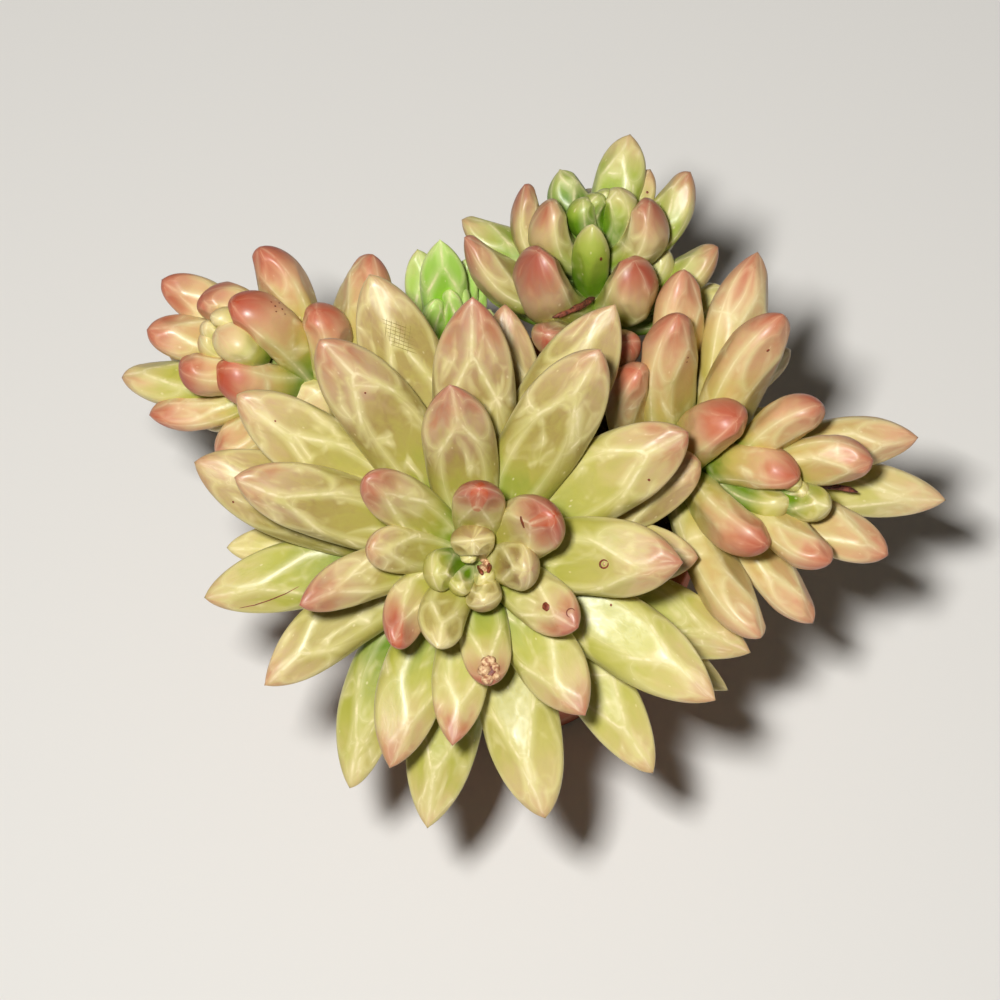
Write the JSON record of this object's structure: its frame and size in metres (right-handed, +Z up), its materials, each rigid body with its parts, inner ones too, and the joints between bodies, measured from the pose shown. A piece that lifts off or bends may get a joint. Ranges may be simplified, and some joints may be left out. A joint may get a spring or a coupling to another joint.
{
  "type": "potted echeveria succulent",
  "caption": "Clump of plump pointed-leaved echeveria rosettes on short stems, growing in soil in a plain clay pot.",
  "frame": {"origin": "middle of the pot's underside, on the face that it rests on", "axes": "+Z up out of the pot; +X to the right as seen from the front, where the biggest rosette leans; -Y towards the front"},
  "size_m": [0.1711, 0.1398, 0.1374],
  "materials": {
    "pot_clay": "matt unglazed terracotta",
    "gritty_soil": "coarse dark potting grit",
    "main_leaf": "waxy succulent leaf, olive yellow with salmon tips",
    "left_leaf": "waxy succulent leaf, olive with pink tips",
    "top_leaf": "waxy succulent leaf, green with red brown tips",
    "right_leaf": "waxy succulent leaf, tan with pink tips",
    "shoot_leaf": "waxy succulent leaf, bright green",
    "dry_stalk": "dry red brown stalk"
  },
  "bodies": {
    "root": {"pot": "pot_clay", "soil": "gritty_soil", "main_rosette": "main_leaf", "left_rosette": "left_leaf", "top_rosette": "top_leaf", "right_rosette": "right_leaf", "green_shoot": "shoot_leaf", "dry_twig_top": "dry_stalk", "dry_twig_right": "dry_stalk"}
  },
  "joints": []
}
